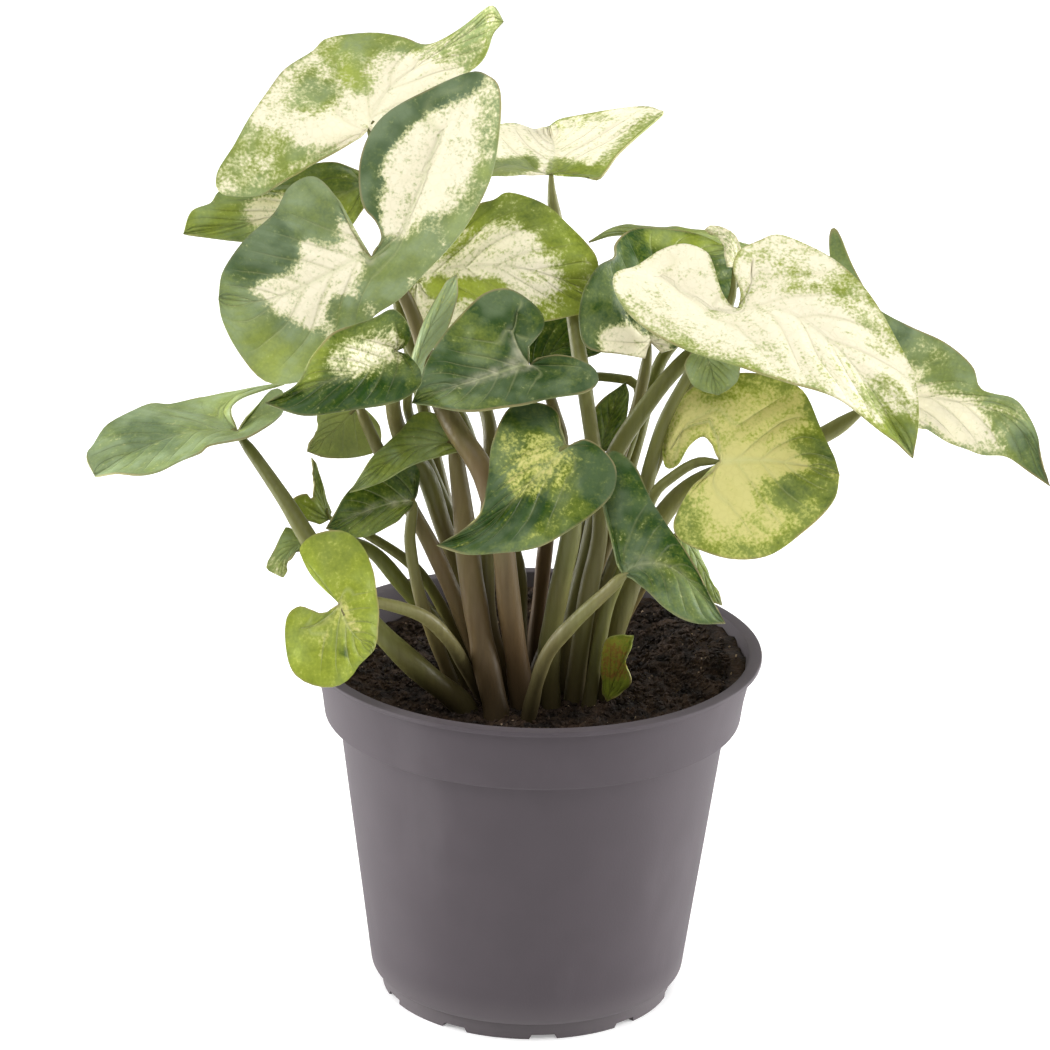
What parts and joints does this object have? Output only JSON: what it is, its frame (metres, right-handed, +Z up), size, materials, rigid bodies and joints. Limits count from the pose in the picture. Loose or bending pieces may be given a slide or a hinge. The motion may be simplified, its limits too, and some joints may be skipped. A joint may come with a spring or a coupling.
{
  "type": "potted plant",
  "caption": "Syngonium with arrow-shaped cream and green leaves on long upright stalks, growing in a round grey plastic nursery pot.",
  "frame": {"origin": "centre of the part's footprint, on the surface it stands on", "axes": "+Z up the pot's axis; -Y towards the viewer of the plant's front; +X to that viewer's right"},
  "size_m": [0.2486, 0.12, 0.2576],
  "materials": {
    "grey_plastic": "matt, faint moulding grain",
    "peat": "rough, moist",
    "bract": "dull, papery",
    "stalk": "smooth, slightly waxy",
    "cream_leaf": "satin, cream with green margins",
    "lime_leaf": "satin, lime with green patches",
    "green_leaf": "satin, dark green with pale veins"
  },
  "bodies": {
    "root": {"pot": "grey_plastic", "soil": "peat", "base_bract": "bract", "blade_top_left": "cream_leaf", "stalk_top_left": "stalk", "blade_front_left": "cream_leaf", "stalk_front_left": "stalk", "blade_curled_left": "green_leaf", "stalk_curled_left": "stalk", "blade_far_left": "green_leaf", "stalk_far_left": "stalk", "blade_low_left": "lime_leaf", "stalk_low_left": "stalk", "blade_dark_centre": "green_leaf", "stalk_dark_centre": "stalk", "blade_front_centre": "lime_leaf", "stalk_front_centre": "stalk", "blade_hanging_right": "green_leaf", "stalk_hanging_right": "stalk", "blade_lime_right": "lime_leaf", "stalk_lime_right": "stalk", "blade_large_right": "cream_leaf", "stalk_large_right": "stalk", "blade_dark_right": "green_leaf", "stalk_dark_right": "stalk", "blade_far_right": "cream_leaf", "stalk_far_right": "stalk", "blade_top_centre": "cream_leaf", "stalk_top_centre": "stalk", "blade_cream_centre": "cream_leaf", "stalk_cream_centre": "stalk", "blade_back_left": "green_leaf", "stalk_back_left": "stalk", "blade_edge_right": "lime_leaf", "stalk_edge_right": "stalk", "blade_dark_left": "green_leaf", "stalk_dark_left": "stalk", "blade_twisted_left": "green_leaf", "stalk_twisted_left": "stalk", "blade_small_low_left": "green_leaf", "stalk_small_low_left": "stalk", "blade_lime_left": "lime_leaf", "stalk_lime_left": "stalk", "blade_folded_centre": "green_leaf", "stalk_folded_centre": "stalk", "blade_young_roll": "lime_leaf", "stalk_young_roll": "stalk", "blade_under_right": "green_leaf", "stalk_under_right": "stalk", "blade_low_right": "lime_leaf", "stalk_low_right": "stalk", "blade_dark_back_centre": "green_leaf", "stalk_dark_back_centre": "stalk", "blade_pale_curl": "cream_leaf", "stalk_pale_curl": "stalk", "blade_shaded_centre": "green_leaf", "stalk_shaded_centre": "stalk"}
  },
  "joints": []
}
